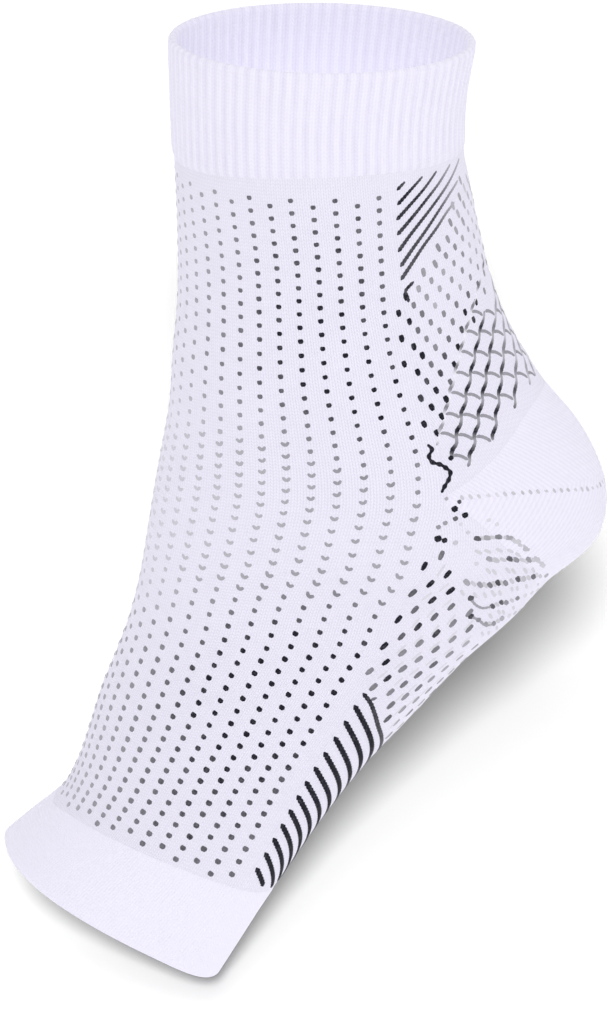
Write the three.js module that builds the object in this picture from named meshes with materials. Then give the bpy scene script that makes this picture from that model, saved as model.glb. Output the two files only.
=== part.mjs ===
import * as THREE from 'three';

// Open-toe compression sock in its worn shape. Millimetres, +Z up, heel toward +X, toes toward -X.
// The origin is the middle of the ankle, inside the sock. The two sides mirror each other in Y.

// Overall sizes
const sockHeight = 265; // top rim down to the lowest point of the toe rim
const sockReach = 169.5; // back of the heel to the front of the toe rim
const legDepth = 86; // front to back at the top rim
const legWidth = 77; // side to side at the top rim
const heelDepth = 127.5; // instep to back of heel
const heelWidth = 71; // side to side at the heel
const footDepth = 67.5; // instep to sole at the toe rim
const footWidth = 85; // side to side at the toe rim

// Knitted parts
const cuffHeight = 32.4; // front of the cuff, measured down from the rim
const cuffBow = 2.4; // how much shorter the cuff is at the sides
const cuffThickness = 2.4;
const cuffLift = 0.5; // how far the cuff stands out from the tube under it
const ribCount = 72;
const ribDepth = 0.4;
const tubeThickness = 1.2;
const panelThickness = 1.4; // achilles and arch panels
const heelThickness = 1.7;
const toeBandHeight = 26.4; // under the foot, measured up from the toe rim
const toeBandThickness = 2;
const toeBandLift = 0.2;
const seamGap = 0.3; // clearance between neighbouring knitted parts

// Sections from the top rim to the toe rim, each named for where it is, with the sizes it uses.
// middleX and middleZ are shares of sockReach and sockHeight, lean is in degrees, depth and width are
// shares of the row's own sizes, widest is the place of the greatest width as a share of the depth from
// the back, and frontCurve and backCurve are 2 for an ellipse and more for a squarer half.
const sizesOf = {
  leg: { depth: legDepth, width: legWidth },
  heel: { depth: heelDepth, width: heelWidth },
  foot: { depth: footDepth, width: footWidth },
};
const sectionColumns = [
  'middleX', 'middleZ', 'lean', 'depth', 'width', 'widest', 'frontCurve', 'backCurve',
];
const sections = [
  ['rim', 'leg', -0.013, 0.429, 1.1, 0.985, 1.0, 0.5, 2, 2],
  ['cuff middle', 'leg', -0.02, 0.362, 0.4, 0.945, 0.975, 0.5, 2, 2],
  ['cuff foot', 'leg', -0.018, 0.301, -1.7, 0.938, 0.952, 0.5, 2, 2],
  ['leg top', 'leg', -0.012, 0.265, -2.6, 0.952, 0.935, 0.5, 2, 2],
  ['leg upper', 'leg', -0.002, 0.207, -3.4, 0.982, 0.922, 0.5, 2, 2],
  ['leg middle', 'leg', 0.007, 0.153, -3.9, 1.025, 0.922, 0.51, 2, 2],
  ['leg lower', 'leg', 0.018, 0.101, -4.1, 1.098, 0.93, 0.52, 2, 2],
  ['ankle', 'heel', 0.043, 0.042, -3.0, 0.822, 1.014, 0.51, 2, 2],
  ['ankle lower', 'heel', 0.072, -0.013, -1.2, 0.934, 1.014, 0.5, 2, 2.05],
  ['heel back', 'heel', 0.083, -0.064, 0.5, 0.996, 1.003, 0.48, 2, 2.1],
  ['heel lower', 'heel', 0.071, -0.113, 0.6, 0.996, 1.0, 0.45, 2, 2.2],
  ['heel base', 'heel', 0.024, -0.159, -0.3, 0.906, 1.0, 0.42, 2, 2.4],
  ['arch back', 'heel', -0.011, -0.196, -1.3, 0.856, 1.003, 0.38, 2, 2.6],
  ['arch', 'heel', -0.066, -0.24, -0.8, 0.772, 1.014, 0.34, 2, 2.7],
  ['arch front', 'heel', -0.119, -0.286, 1.6, 0.695, 1.032, 0.32, 2, 2.8],
  ['middle foot', 'foot', -0.169, -0.332, 5.0, 1.155, 0.885, 0.31, 2, 2.8],
  ['ball', 'foot', -0.225, -0.39, 11.5, 1.008, 0.92, 0.3, 2, 2.8],
  ['band top', 'foot', -0.281, -0.445, 23.0, 0.93, 0.953, 0.3, 2.1, 2.85],
  ['band middle', 'foot', -0.325, -0.478, 26.0, 0.965, 0.976, 0.31, 2.2, 3],
  ['toe rim', 'foot', -0.368, -0.511, 28.0, 0.998, 1.0, 0.32, 2.4, 3.2],
];

// Where the knit changes. The side edge parts the tube from the panels behind and under it: along is a
// share of the way from rim to toe rim, girth a share of the way round from front line to back line.
const sideEdge = [
  { along: 0.1, girth: 0.63 },
  { along: 0.165, girth: 0.632 },
  { along: 0.25, girth: 0.637 },
  { along: 0.315, girth: 0.644 },
  { along: 0.365, girth: 0.632 },
  { along: 0.42, girth: 0.612 },
  { along: 0.46, girth: 0.598 },
  { along: 0.52, girth: 0.568 },
  { along: 0.57, girth: 0.564 },
  { along: 0.64, girth: 0.586 },
  { along: 0.7, girth: 0.602 },
  { along: 0.8, girth: 0.613 },
  { along: 0.9, girth: 0.617 },
];
// The two edges of the heel: across is a share of the way from the side edge to the back line.
const heelTop = [
  { across: 0, along: 0.455 },
  { across: 0.1, along: 0.444 },
  { across: 0.22, along: 0.429 },
  { across: 0.35, along: 0.413 },
  { across: 0.53, along: 0.394 },
  { across: 0.75, along: 0.382 },
  { across: 1, along: 0.379 },
];
const heelBase = [
  { across: 0, along: 0.467 },
  { across: 0.07, along: 0.472 },
  { across: 0.17, along: 0.487 },
  { across: 0.27, along: 0.506 },
  { across: 0.38, along: 0.528 },
  { across: 0.55, along: 0.556 },
  { across: 0.8, along: 0.575 },
  { across: 1, along: 0.58 },
];
// The height of the toe band round the foot, as a share of toeBandHeight.
const toeBandEdge = [
  { girth: 0, height: 0.75 },
  { girth: 0.15, height: 0.88 },
  { girth: 0.3, height: 0.96 },
  { girth: 0.6, height: 1 },
  { girth: 1, height: 1 },
];
// How a welt rounds off at its free edge: step is a share of its thickness, full a share of its half.
const weltRound = [
  { step: 0, full: 0.45 },
  { step: 0.18, full: 0.82 },
  { step: 0.5, full: 1 },
];

// A smooth curve through points, carried on straight past both ends
function smooth(xs, ys, x) {
  const last = xs.length - 1;
  const rise = (i) => (ys[i + 1] - ys[i]) / (xs[i + 1] - xs[i]);
  const slope = (i) => {
    if (i === 0) return rise(0);
    if (i === last) return rise(last - 1);
    const before = xs[i] - xs[i - 1];
    const after = xs[i + 1] - xs[i];
    return (rise(i - 1) * after + rise(i) * before) / (before + after);
  };
  if (x <= xs[0]) return ys[0] + slope(0) * (x - xs[0]);
  if (x >= xs[last]) return ys[last] + slope(last) * (x - xs[last]);
  let i = 0;
  while (x > xs[i + 1]) i += 1;
  const span = xs[i + 1] - xs[i];
  const f = (x - xs[i]) / span;
  const g = 1 - f;
  return (1 + 2 * f) * g * g * ys[i] + f * g * g * span * slope(i)
    + f * f * (3 - 2 * f) * ys[i + 1] - f * f * g * span * slope(i + 1);
}

function readEdge(table, from, to, x) {
  const xs = table.map((row) => row[from]);
  const held = Math.min(Math.max(x, xs[0]), xs[xs.length - 1]);
  return smooth(xs, table.map((row) => row[to]), held);
}

// The section rows in millimetres, and how far along the sock each lies
const rows = sections.map(([place, sizes, ...shares]) => {
  const row = Object.fromEntries(sectionColumns.map((column, i) => [column, shares[i]]));
  row.middleX *= sockReach;
  row.middleZ *= sockHeight;
  row.lean = THREE.MathUtils.degToRad(row.lean);
  row.depth *= sizesOf[sizes].depth;
  row.width *= sizesOf[sizes].width / 2;
  return row;
});
const stations = [0];
for (let i = 1; i < rows.length; i += 1) {
  const stepX = rows[i].middleX - rows[i - 1].middleX;
  const stepZ = rows[i].middleZ - rows[i - 1].middleZ;
  stations.push(stations[i - 1] + Math.hypot(stepX, stepZ));
}
const sockLength = stations[stations.length - 1];
const columnValues = Object.fromEntries(
  sectionColumns.map((column) => [column, rows.map((row) => row[column])]),
);

// Half of one section, from the front line round the side to the back line, with lengths along it
const sectionSteps = 96;
function halfSection(along) {
  const at = {};
  for (const column of sectionColumns) at[column] = smooth(stations, columnValues[column], along);
  const points = [];
  const lengths = [];
  for (let i = 0; i <= sectionSteps; i += 1) {
    const angle = (Math.PI * i) / sectionSteps;
    const front = Math.cos(angle) > 0;
    const power = 2 / (front ? at.frontCurve : at.backCurve);
    const reach = Math.abs(Math.cos(angle)) ** power;
    const side = at.width * Math.abs(Math.sin(angle)) ** power;
    const share = front ? at.widest + (1 - at.widest) * reach : at.widest * (1 - reach);
    const run = (share - 0.5) * at.depth;
    const x = at.middleX - Math.cos(at.lean) * run;
    const z = at.middleZ + Math.sin(at.lean) * run;
    const point = new THREE.Vector3(x, -side, z);
    lengths.push(i === 0 ? 0 : lengths[i - 1] + point.distanceTo(points[i - 1]));
    points.push(point);
  }
  return { points, lengths };
}

// The outer skin. The girth runs from 0 at the front line to 1 at the back line on the -Y side, and
// from 0 to -1 on the +Y side.
function skin(along, girth) {
  let round = girth;
  if (round > 1) round -= 2;
  if (round < -1) round += 2;
  const { points, lengths } = halfSection(along);
  const wanted = Math.abs(round) * lengths[sectionSteps];
  let i = 0;
  while (i < sectionSteps - 1 && lengths[i + 1] < wanted) i += 1;
  const part = (wanted - lengths[i]) / (lengths[i + 1] - lengths[i]);
  const point = points[i].clone().lerp(points[i + 1], part);
  if (round < 0) point.y *= -1;
  return point;
}

// The direction square to the skin, from its run a small way down and a small way round
const probeLength = sockLength * 0.003;
const probeGirth = 0.015;
function outward(along, girth) {
  const down = skin(along + probeLength, girth).sub(skin(along - probeLength, girth));
  const around = skin(along, girth + probeGirth).sub(skin(along, girth - probeGirth));
  return down.cross(around).normalize();
}

// Edges between the knitted parts, in millimetres along the sock
const edgeGirth = (along) => readEdge(sideEdge, 'along', 'girth', along / sockLength);
const cuffEdge = (girth) => cuffHeight - cuffBow * Math.sin(Math.PI * Math.abs(girth)) ** 2;
const toeEdge = (girth) => {
  return sockLength - toeBandHeight * readEdge(toeBandEdge, 'girth', 'height', Math.abs(girth));
};
const heelTopEdge = (across) => sockLength * readEdge(heelTop, 'across', 'along', across);
const heelBaseEdge = (across) => sockLength * readEdge(heelBase, 'across', 'along', across);

// Places on the front tube and on the back panels, which both run from one side edge to the other
const onTube = (along, turn) => turn * edgeGirth(along);
const onBack = (along, turn) => {
  const edge = edgeGirth(along);
  const girth = 1 - Math.abs(turn) * (1 - edge);
  return turn < 0 ? -girth : girth;
};

// Moves an edge point back from the seam, square to the edge and toward the next point inward
function stepBack(point, next, edgeRun) {
  const run = edgeRun.clone().normalize();
  const inward = next.clone().sub(point);
  inward.addScaledVector(run, -inward.dot(run)).normalize();
  return point.clone().addScaledVector(inward, seamGap / 2);
}

// A knitted piece as a closed wall. The place function gives the skin place of each grid point with
// the offsets of its two faces; a ring closes on itself, and seams name the edges that meet others.
function knitWall(name, colour, roughness, { rowCount, columnCount, ring, seams, place }) {
  const wide = ring ? columnCount : columnCount + 1;
  const faces = [[], []];
  for (let i = 0; i <= rowCount; i += 1) {
    for (let j = 0; j < wide; j += 1) {
      const { along, girth, over, under } = place(i, j);
      const point = skin(along, girth);
      const normal = outward(along, girth);
      faces[0].push(point.clone().addScaledVector(normal, over));
      faces[1].push(point.clone().addScaledVector(normal, under));
    }
  }
  const at = (i, j) => i * wide + ((j + wide) % wide);
  for (const face of faces) {
    const moved = face.map((point) => point.clone());
    const along = (i, j) => {
      const before = ring || j > 0 ? j - 1 : j;
      const after = ring || j < columnCount ? j + 1 : j;
      return face[at(i, after)].clone().sub(face[at(i, before)]);
    };
    const down = (i, j) => {
      return face[at(Math.min(i + 1, rowCount), j)].clone().sub(face[at(Math.max(i - 1, 0), j)]);
    };
    const shift = (i, j, nextI, nextJ, run) => {
      const spot = at(i, j);
      const step = stepBack(face[spot], face[at(nextI, nextJ)], run).sub(face[spot]);
      moved[spot].add(step);
    };
    for (let j = 0; j < wide; j += 1) {
      if (seams.top) shift(0, j, 1, j, along(0, j));
      if (seams.bottom) shift(rowCount, j, rowCount - 1, j, along(rowCount, j));
    }
    for (let i = 0; i <= rowCount && seams.sides; i += 1) {
      shift(i, 0, i, 1, down(i, 0));
      shift(i, columnCount, i, columnCount - 1, down(i, columnCount));
    }
    face.splice(0, face.length, ...moved);
  }
  const positions = [];
  for (const point of [...faces[0], ...faces[1]]) positions.push(point.x, point.y, point.z);
  const index = [];
  const inner = faces[0].length;
  const quad = (a, b, c, d) => index.push(a, b, c, a, c, d);
  for (let i = 0; i < rowCount; i += 1) {
    for (let j = 0; j < columnCount; j += 1) {
      const corners = [at(i, j), at(i + 1, j), at(i + 1, j + 1), at(i, j + 1)];
      quad(...corners);
      quad(...corners.map((corner) => corner + inner).reverse());
    }
  }
  for (let j = 0; j < columnCount; j += 1) {
    quad(at(0, j), at(0, j + 1), at(0, j + 1) + inner, at(0, j) + inner);
    const last = rowCount;
    quad(at(last, j + 1), at(last, j), at(last, j) + inner, at(last, j + 1) + inner);
  }
  for (let i = 0; i < rowCount && !ring; i += 1) {
    quad(at(i + 1, 0), at(i, 0), at(i, 0) + inner, at(i + 1, 0) + inner);
    const last = columnCount;
    quad(at(i, last), at(i + 1, last), at(i + 1, last) + inner, at(i, last) + inner);
  }
  const geometry = new THREE.BufferGeometry();
  geometry.setAttribute('position', new THREE.Float32BufferAttribute(positions, 3));
  geometry.setIndex(index);
  geometry.computeVertexNormals();
  const material = new THREE.MeshStandardMaterial({ color: colour, roughness, metalness: 0 });
  const mesh = new THREE.Mesh(geometry, material);
  mesh.name = name;
  return mesh;
}

const mix = (from, to, share) => from + (to - from) * share;

// A welt's two faces, drawn together toward its free edge
function weltFaces(thickness, lift, fromFreeEdge) {
  const share = fromFreeEdge / thickness;
  const full = share >= 0.5 ? 1 : readEdge(weltRound, 'step', 'full', share);
  const middle = lift - thickness / 2;
  return { over: middle + (full * thickness) / 2, under: middle - (full * thickness) / 2 };
}

const sock = new THREE.Group();

// The cuff: a ribbed double welt, two columns to a rib
const cuffLevels = [0.5, 1];
sock.add(knitWall('cuff', 0xefedf8, 0.92, {
  rowCount: weltRound.length - 1 + cuffLevels.length,
  columnCount: ribCount * 2,
  ring: true,
  seams: { bottom: true },
  place(i, j) {
    const girth = -1 + j / ribCount;
    const edge = cuffEdge(girth);
    const rounding = i < weltRound.length;
    const along = rounding
      ? weltRound[i].step * cuffThickness
      : mix(weltRound[weltRound.length - 1].step * cuffThickness, edge,
        cuffLevels[i - weltRound.length]);
    const faces = weltFaces(cuffThickness, cuffLift, along);
    const rib = (j % 2 === 0 ? 0.5 : -0.5) * ribDepth;
    return { along, girth, over: faces.over + rib, under: faces.under + rib };
  },
}));

// The tube over the shin, the ankle bones and the instep. Down the side edge its rows end where the
// rows of the panels do, so the seam keeps its gap round every bend.
const achillesRows = 12;
const heelRows = 12;
const archRows = 16;
const tubeColumns = 28;
const sideTop = cuffEdge(edgeGirth(cuffHeight));
const sideBottom = toeEdge(edgeGirth(sockLength - toeBandHeight));
const sideStations = [];
for (let i = 0; i <= achillesRows; i += 1) {
  sideStations.push(mix(sideTop, heelTopEdge(0), i / achillesRows));
}
for (let i = 0; i <= archRows; i += 1) {
  sideStations.push(mix(heelBaseEdge(0), sideBottom, i / archRows));
}
const tubeShares = sideStations.map((along) => (along - sideTop) / (sideBottom - sideTop));
sock.add(knitWall('leg_and_instep', 0xefedf8, 0.9, {
  rowCount: tubeShares.length - 1,
  columnCount: tubeColumns,
  seams: { top: true, bottom: true, sides: true },
  place(i, j) {
    const turn = -1 + (2 * j) / tubeColumns;
    const top = cuffEdge(onTube(cuffHeight, turn));
    const bottom = toeEdge(onTube(sockLength - toeBandHeight, turn));
    const along = mix(top, bottom, tubeShares[i]);
    return { along, girth: onTube(along, turn), over: 0, under: -tubeThickness };
  },
}));

// The three parts behind and under the foot, from edge to edge over the back line
const backColumns = 20;
function backPart(name, roughness, thickness, rowCount, topEdge, bottomEdge) {
  return knitWall(name, 0xf0eef9, roughness, {
    rowCount,
    columnCount: backColumns,
    seams: { top: true, bottom: true, sides: true },
    place(i, j) {
      // columns run from the -Y side edge over the back line to the +Y side edge
      const turn = 1 - (2 * j) / backColumns;
      const along = mix(topEdge(turn), bottomEdge(turn), i / rowCount);
      return { along, girth: onBack(along, turn), over: 0, under: -thickness };
    },
  });
}
const cuffOverBack = (turn) => cuffEdge(onBack(cuffHeight, turn));
const toeOverBack = (turn) => toeEdge(onBack(sockLength - toeBandHeight, turn));
const heelTopOver = (turn) => heelTopEdge(1 - Math.abs(turn));
const heelBaseOver = (turn) => heelBaseEdge(1 - Math.abs(turn));
sock.add(backPart('achilles_panel', 0.9, panelThickness, achillesRows, cuffOverBack, heelTopOver));
sock.add(backPart('heel_pocket', 0.88, heelThickness, heelRows, heelTopOver, heelBaseOver));
sock.add(backPart('arch_panel', 0.9, panelThickness, archRows, heelBaseOver, toeOverBack));

// The toe band: a plain double welt round the open toe end
const toeLevels = [0, 0.33, 0.67];
const toeColumns = 56;
sock.add(knitWall('toe_band', 0xf1eff9, 0.92, {
  rowCount: weltRound.length - 1 + toeLevels.length,
  columnCount: toeColumns,
  ring: true,
  seams: { top: true },
  place(i, j) {
    const girth = -1 + (2 * j) / toeColumns;
    const rounding = i >= toeLevels.length;
    const roundStart = sockLength - weltRound[weltRound.length - 1].step * toeBandThickness;
    const along = rounding
      ? sockLength - weltRound[weltRound.length - 1 - (i - toeLevels.length)].step * toeBandThickness
      : mix(toeEdge(girth), roundStart, toeLevels[i]);
    const faces = weltFaces(toeBandThickness, toeBandLift, sockLength - along);
    return { along, girth, over: faces.over, under: faces.under };
  },
}));

export default sock;
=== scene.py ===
import math

import bpy
import numpy as np
from mathutils import Matrix, Vector


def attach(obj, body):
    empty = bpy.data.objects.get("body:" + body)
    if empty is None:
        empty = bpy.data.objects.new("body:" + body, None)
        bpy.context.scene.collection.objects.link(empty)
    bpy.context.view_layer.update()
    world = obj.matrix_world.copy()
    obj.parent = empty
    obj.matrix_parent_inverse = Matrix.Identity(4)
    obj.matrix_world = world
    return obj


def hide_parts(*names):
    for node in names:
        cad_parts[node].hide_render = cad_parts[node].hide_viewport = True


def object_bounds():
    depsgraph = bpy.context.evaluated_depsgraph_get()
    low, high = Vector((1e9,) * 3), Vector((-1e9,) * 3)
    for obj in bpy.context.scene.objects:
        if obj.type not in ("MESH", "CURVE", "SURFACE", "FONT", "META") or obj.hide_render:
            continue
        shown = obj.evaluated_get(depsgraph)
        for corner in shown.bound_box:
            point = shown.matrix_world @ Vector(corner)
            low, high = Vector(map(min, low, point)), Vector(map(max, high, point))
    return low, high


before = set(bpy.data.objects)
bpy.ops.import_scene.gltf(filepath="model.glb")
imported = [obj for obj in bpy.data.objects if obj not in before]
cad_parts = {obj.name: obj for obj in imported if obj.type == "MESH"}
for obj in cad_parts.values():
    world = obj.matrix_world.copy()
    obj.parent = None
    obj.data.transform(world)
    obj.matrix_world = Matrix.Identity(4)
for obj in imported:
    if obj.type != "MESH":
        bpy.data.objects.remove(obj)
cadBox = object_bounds()
print("frame loaded:", ", ".join(sorted(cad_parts)))

# Everything is in metres, +Z up, heel toward +X, with the origin in the middle of the ankle.
# The worn shape, with the same sizes and shares as the part's own sections.
sock = {
    "height": 0.265, "reach": 0.1695,
    "leg": (0.086, 0.077), "heel": (0.1275, 0.071), "foot": (0.0675, 0.085),  # depth, width
    "cuffHeight": 0.0324, "cuffBow": 0.0024, "toeBandHeight": 0.0264,
}
sectionColumns = ("middleX", "middleZ", "lean", "depth", "width", "widest", "frontCurve", "backCurve")
sections = [
    ("rim", "leg", -0.013, 0.429, 1.1, 0.985, 1.0, 0.5, 2, 2),
    ("cuff middle", "leg", -0.02, 0.362, 0.4, 0.945, 0.975, 0.5, 2, 2),
    ("cuff foot", "leg", -0.018, 0.301, -1.7, 0.938, 0.952, 0.5, 2, 2),
    ("leg top", "leg", -0.012, 0.265, -2.6, 0.952, 0.935, 0.5, 2, 2),
    ("leg upper", "leg", -0.002, 0.207, -3.4, 0.982, 0.922, 0.5, 2, 2),
    ("leg middle", "leg", 0.007, 0.153, -3.9, 1.025, 0.922, 0.51, 2, 2),
    ("leg lower", "leg", 0.018, 0.101, -4.1, 1.098, 0.93, 0.52, 2, 2),
    ("ankle", "heel", 0.043, 0.042, -3.0, 0.822, 1.014, 0.51, 2, 2),
    ("ankle lower", "heel", 0.072, -0.013, -1.2, 0.934, 1.014, 0.5, 2, 2.05),
    ("heel back", "heel", 0.083, -0.064, 0.5, 0.996, 1.003, 0.48, 2, 2.1),
    ("heel lower", "heel", 0.071, -0.113, 0.6, 0.996, 1.0, 0.45, 2, 2.2),
    ("heel base", "heel", 0.024, -0.159, -0.3, 0.906, 1.0, 0.42, 2, 2.4),
    ("arch back", "heel", -0.011, -0.196, -1.3, 0.856, 1.003, 0.38, 2, 2.6),
    ("arch", "heel", -0.066, -0.24, -0.8, 0.772, 1.014, 0.34, 2, 2.7),
    ("arch front", "heel", -0.119, -0.286, 1.6, 0.695, 1.032, 0.32, 2, 2.8),
    ("middle foot", "foot", -0.169, -0.332, 5.0, 1.155, 0.885, 0.31, 2, 2.8),
    ("ball", "foot", -0.225, -0.39, 11.5, 1.008, 0.92, 0.3, 2, 2.8),
    ("band top", "foot", -0.281, -0.445, 23.0, 0.93, 0.953, 0.3, 2.1, 2.85),
    ("band middle", "foot", -0.325, -0.478, 26.0, 0.965, 0.976, 0.31, 2.2, 3),
    ("toe rim", "foot", -0.368, -0.511, 28.0, 0.998, 1.0, 0.32, 2.4, 3.2),
]

# Where the knit changes: places along (0 at the rim, 1 at the toe rim) and places across
sideEdge = ((0.1, 0.165, 0.25, 0.315, 0.365, 0.42, 0.46, 0.52, 0.57, 0.64, 0.7, 0.8, 0.9),
            (0.63, 0.632, 0.637, 0.644, 0.632, 0.612, 0.598, 0.568, 0.564, 0.586, 0.602, 0.613, 0.617))
heelTop = ((0, 0.1, 0.22, 0.35, 0.53, 0.75, 1), (0.455, 0.444, 0.429, 0.413, 0.394, 0.382, 0.379))
heelBase = ((0, 0.07, 0.17, 0.27, 0.38, 0.55, 0.8, 1),
            (0.467, 0.472, 0.487, 0.506, 0.528, 0.556, 0.575, 0.58))
toeBandEdge = ((0, 0.15, 0.3, 0.6, 1), (0.75, 0.88, 0.96, 1, 1))


def smooth(xs, ys, x):
    # a smooth curve through points, carried on straight past both ends
    xs, ys, x = np.asarray(xs, float), np.asarray(ys, float), np.asarray(x, float)
    gap = np.diff(xs)
    rise = np.diff(ys) / gap
    inner = (rise[:-1] * gap[1:] + rise[1:] * gap[:-1]) / (gap[:-1] + gap[1:])
    slope = np.concatenate(([rise[0]], inner, [rise[-1]]))
    i = np.clip(np.searchsorted(xs, x, side="right") - 1, 0, len(xs) - 2)
    f = (x - xs[i]) / gap[i]
    g = 1 - f
    between = ((1 + 2 * f) * g * g * ys[i] + f * g * g * gap[i] * slope[i]
               + f * f * (3 - 2 * f) * ys[i + 1] - f * f * g * gap[i] * slope[i + 1])
    before = ys[0] + slope[0] * (x - xs[0])
    after = ys[-1] + slope[-1] * (x - xs[-1])
    return np.where(x < xs[0], before, np.where(x > xs[-1], after, between))


def held(xs, ys, x):
    # the same curve, held level past both ends
    return smooth(xs, ys, np.clip(x, xs[0], xs[-1]))


def ease(low, high, x):
    share = np.clip((np.asarray(x, float) - low) / (high - low), 0, 1)
    return share * share * (3 - 2 * share)


def sectionValues():
    rows = []
    for place, size, *shares in sections:
        middleX, middleZ, lean, depth, width, widest, frontCurve, backCurve = shares
        rows.append((middleX * sock["reach"], middleZ * sock["height"], math.radians(lean),
                     depth * sock[size][0], width * sock[size][1] / 2, widest, frontCurve, backCurve))
    return np.array(rows, float)


def skinTable(step=0.0005, girthSteps=256, angleSteps=384, past=0.003):
    # the outer skin as a fine grid: rows along the sock, columns round half of it by true length
    rows = sectionValues()
    stations = np.concatenate(([0], np.cumsum(np.hypot(np.diff(rows[:, 0]), np.diff(rows[:, 1])))))
    length = stations[-1]
    along = np.linspace(-past, length + past, int((length + 2 * past) / step) + 1)
    at = {name: smooth(stations, rows[:, k], along)[:, None] for k, name in enumerate(sectionColumns)}
    angle = np.linspace(0, math.pi, angleSteps + 1)[None]
    front = np.cos(angle) > 0
    power = 2 / np.where(front, at["frontCurve"], at["backCurve"])
    reach = np.abs(np.cos(angle)) ** power
    side = at["width"] * np.abs(np.sin(angle)) ** power
    share = np.where(front, at["widest"] + (1 - at["widest"]) * reach, at["widest"] * (1 - reach))
    run = (share - 0.5) * at["depth"]
    points = np.stack([at["middleX"] - np.cos(at["lean"]) * run, -side,
                       at["middleZ"] + np.sin(at["lean"]) * run], axis=-1)
    steps = np.linalg.norm(np.diff(points, axis=1), axis=2)
    lengths = np.concatenate((np.zeros((len(along), 1)), np.cumsum(steps, axis=1)), axis=1)
    girth = np.linspace(0, 1, girthSteps + 1)
    grid = np.empty((len(along), girthSteps + 1, 3))
    for i in range(len(along)):
        for k in range(3):
            grid[i, :, k] = np.interp(girth * lengths[i, -1], lengths[i], points[i, :, k])
    return {"length": length, "start": along[0], "step": along[1] - along[0], "grid": grid,
            "half": lengths[:, -1], "along": along}


table = skinTable()
sockLength = table["length"]


def skin(along, girth):
    # along in metres from the rim; girth 0 on the front line, 1 on the back line, negative on +Y
    along, girth = np.broadcast_arrays(np.asarray(along, float), np.asarray(girth, float))
    turned = (girth + 1) % 2 - 1
    grid = table["grid"]
    row = np.clip((along - table["start"]) / table["step"], 0, grid.shape[0] - 1.001)
    column = np.clip(np.abs(turned) * (grid.shape[1] - 1), 0, grid.shape[1] - 1.001)
    i, j = row.astype(int), column.astype(int)
    down, over = (row - i)[..., None], (column - j)[..., None]
    point = ((grid[i, j] * (1 - over) + grid[i, j + 1] * over) * (1 - down)
             + (grid[i + 1, j] * (1 - over) + grid[i + 1, j + 1] * over) * down)
    point[..., 1] *= np.where(turned < 0, -1.0, 1.0)
    return point


def unit(vectors):
    return vectors / np.linalg.norm(vectors, axis=-1, keepdims=True)


def bearings(along, girth, reach=0.0008, turn=0.015):
    # outward, down the sock and round toward the back, each one long
    down = skin(along + reach, girth) - skin(along - reach, girth)
    around = skin(along, girth + turn) - skin(along, girth - turn)
    outward = unit(np.cross(down, around))
    return outward, unit(down), unit(np.cross(outward, unit(down)))


def halfGirth(along):
    return np.interp(along, table["along"], table["half"])


def edgeGirth(along):
    return held(*sideEdge, np.asarray(along) / sockLength)


def cuffEdge(girth):
    return sock["cuffHeight"] - sock["cuffBow"] * np.sin(math.pi * np.abs(girth)) ** 2


def toeEdge(girth):
    turned = np.abs((np.asarray(girth, float) + 1) % 2 - 1)
    return sockLength - sock["toeBandHeight"] * held(*toeBandEdge, turned)


def placeAcross(across, alongShare):
    # pattern places: across is 0 on the side edge, 1 on the back line, -1 on the front line
    edge = edgeGirth(alongShare * sockLength)
    return np.where(across >= 0, edge + across * (1 - edge), edge * (1 + across))


# Node trees, for materials and for geometry

class Wire:
    # a socket on which sums can be written
    def __init__(self, graph, socket):
        self.graph = graph
        self.socket = socket

    def of(self, name):
        return Wire(self.graph, self.socket.node.outputs[name])

    def math(self, operation, *values):
        return self.graph.node("ShaderNodeMath", {"operation": operation}, dict(enumerate(values)))

    def __add__(self, other):
        return self.math("ADD", self, other)

    def __sub__(self, other):
        return self.math("SUBTRACT", self, other)

    def __rsub__(self, other):
        return self.math("SUBTRACT", other, self)

    def __mul__(self, other):
        return self.math("MULTIPLY", self, other)

    def __truediv__(self, other):
        return self.math("DIVIDE", self, other)

    def __pow__(self, other):
        return self.math("POWER", self, other)

    def __abs__(self):
        return self.math("ABSOLUTE", self)

    __radd__ = __add__
    __rmul__ = __mul__

    def fraction(self):
        return self.math("FRACT", self)

    def wave(self):
        # 0 to 1 and back over each whole step
        return self.math("COSINE", self * (2 * math.pi)) * -0.5 + 0.5


class Graph:
    def __init__(self, tree):
        self.tree = tree

    def feed(self, target, value):
        if isinstance(value, Wire):
            self.tree.links.new(value.socket, target)
        else:
            target.default_value = value

    def node(self, kind, settings=None, values=None, output=0):
        made = self.tree.nodes.new(kind)
        for name, value in (settings or {}).items():
            setattr(made, name, value)
        for name, value in (values or {}).items():
            self.feed(made.inputs[name], value)
        return Wire(self, made.outputs[output]) if made.outputs else made

    def mixColour(self, share, first, second):
        return self.node("ShaderNodeMix", {"data_type": "RGBA"}, {0: share, 6: first, 7: second}, 2)

    def vector(self, operation, *values, output=0):
        return self.node("ShaderNodeVectorMath", {"operation": operation}, dict(enumerate(values)), output)

    def scaled(self, vector, factor):
        return self.node("ShaderNodeVectorMath", {"operation": "SCALE"}, {0: vector, "Scale": factor})

    def noise(self, place, scale, detail):
        return self.node("ShaderNodeTexNoise", {}, {"Vector": place, "Scale": scale, "Detail": detail})

    def attribute(self, name, kind="FLOAT"):
        # what the script has written on the points, read in a geometry tree
        return self.node("GeometryNodeInputNamedAttribute", {"data_type": kind}, {"Name": name})


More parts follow.
